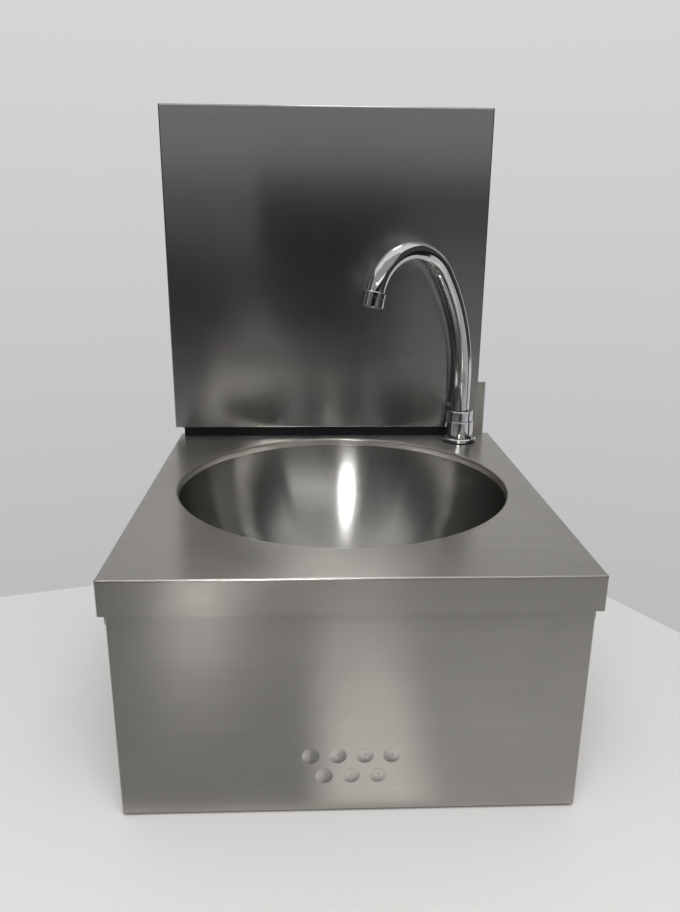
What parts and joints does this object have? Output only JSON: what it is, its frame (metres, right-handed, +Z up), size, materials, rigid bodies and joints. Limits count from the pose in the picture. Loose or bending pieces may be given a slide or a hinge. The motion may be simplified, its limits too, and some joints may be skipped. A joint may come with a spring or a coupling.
{
  "type": "hand wash sink",
  "caption": "Wall-hung stainless steel hand wash basin with a round bowl, a swivel swan-neck spout, a tall splashback and a knee panel that pushes a timed valve.",
  "frame": {"origin": "centre of the four wall bolts, on the wall plane", "axes": "+Z up, +Y into the wall, the front faces -Y, +X to the right seen from the front"},
  "size_m": [0.405, 0.428, 0.617],
  "materials": {
    "satin_steel": "satin, brushed sheet",
    "spun_steel": "satin, spun round its axis",
    "polished_steel": "polished",
    "zinc_steel": "bright zinc plate",
    "chrome": "bright chrome plate",
    "brass": "plain turned and cast",
    "black_rubber": "matt black",
    "white_plastic": "moulded, fine satin",
    "braid": "stainless wire braid over a rubber tube"
  },
  "bodies": {
    "basin": {"deck": "satin_steel", "bowl": "spun_steel", "housing": "satin_steel", "valve_rail": "satin_steel", "waste_flange": "polished_steel", "waste_gaskets": "black_rubber", "waste_body": "white_plastic", "waste_screw": "polished_steel", "splashback": "satin_steel", "splashback_hook": "satin_steel", "seal_strip": "black_rubber", "pivot_bolts": "zinc_steel", "pivot_nuts": "zinc_steel", "buffers": "black_rubber", "valve_body": "brass", "valve_nut": "chrome", "valve_cap": "chrome", "inlet_elbow": "brass", "supply_hose": "braid", "hose_nuts": "zinc_steel", "hose_ferrules": "zinc_steel", "tap_gasket": "black_rubber", "tap_base": "chrome", "tap_shank": "brass", "tap_washer": "zinc_steel", "tap_backnut": "brass", "gland_nut": "chrome"},
    "knee_panel": {"knee_panel": "satin_steel", "panel_stiffener": "satin_steel", "pad_bolt": "zinc_steel", "pad_nuts": "zinc_steel", "pivot_bushes": "white_plastic"},
    "plunger": {"valve_plunger": "chrome"},
    "spout": {"spout": "chrome", "spout_seals": "black_rubber", "aerator_housing": "chrome", "aerator_insert": "white_plastic"}
  },
  "joints": [
    {"name": "knee_hinge", "type": "hinge", "parent": "basin", "child": "knee_panel", "pos_m": [0, -0.408, 0.083], "axis": [1, 0, 0], "range_deg": [0, 4.5], "stiffness_Nm_per_rad": 13, "springref_deg": -8.02},
    {"name": "plunger_slide", "type": "slide", "parent": "basin", "child": "plunger", "axis": [0, 1, 0], "range_m": [0, 0.0075], "stiffness_N_per_m": 400, "springref_m": -0.01},
    {"name": "spout_swivel", "type": "hinge", "parent": "basin", "child": "spout", "pos_m": [0.154, -0.039, 0.16], "axis": [0, 0, 1], "range_deg": [-34, 145]}
  ],
  "couplings": [
    {"joint": "plunger_slide", "follows": "knee_hinge", "m_per_rad": 0.093}
  ]
}
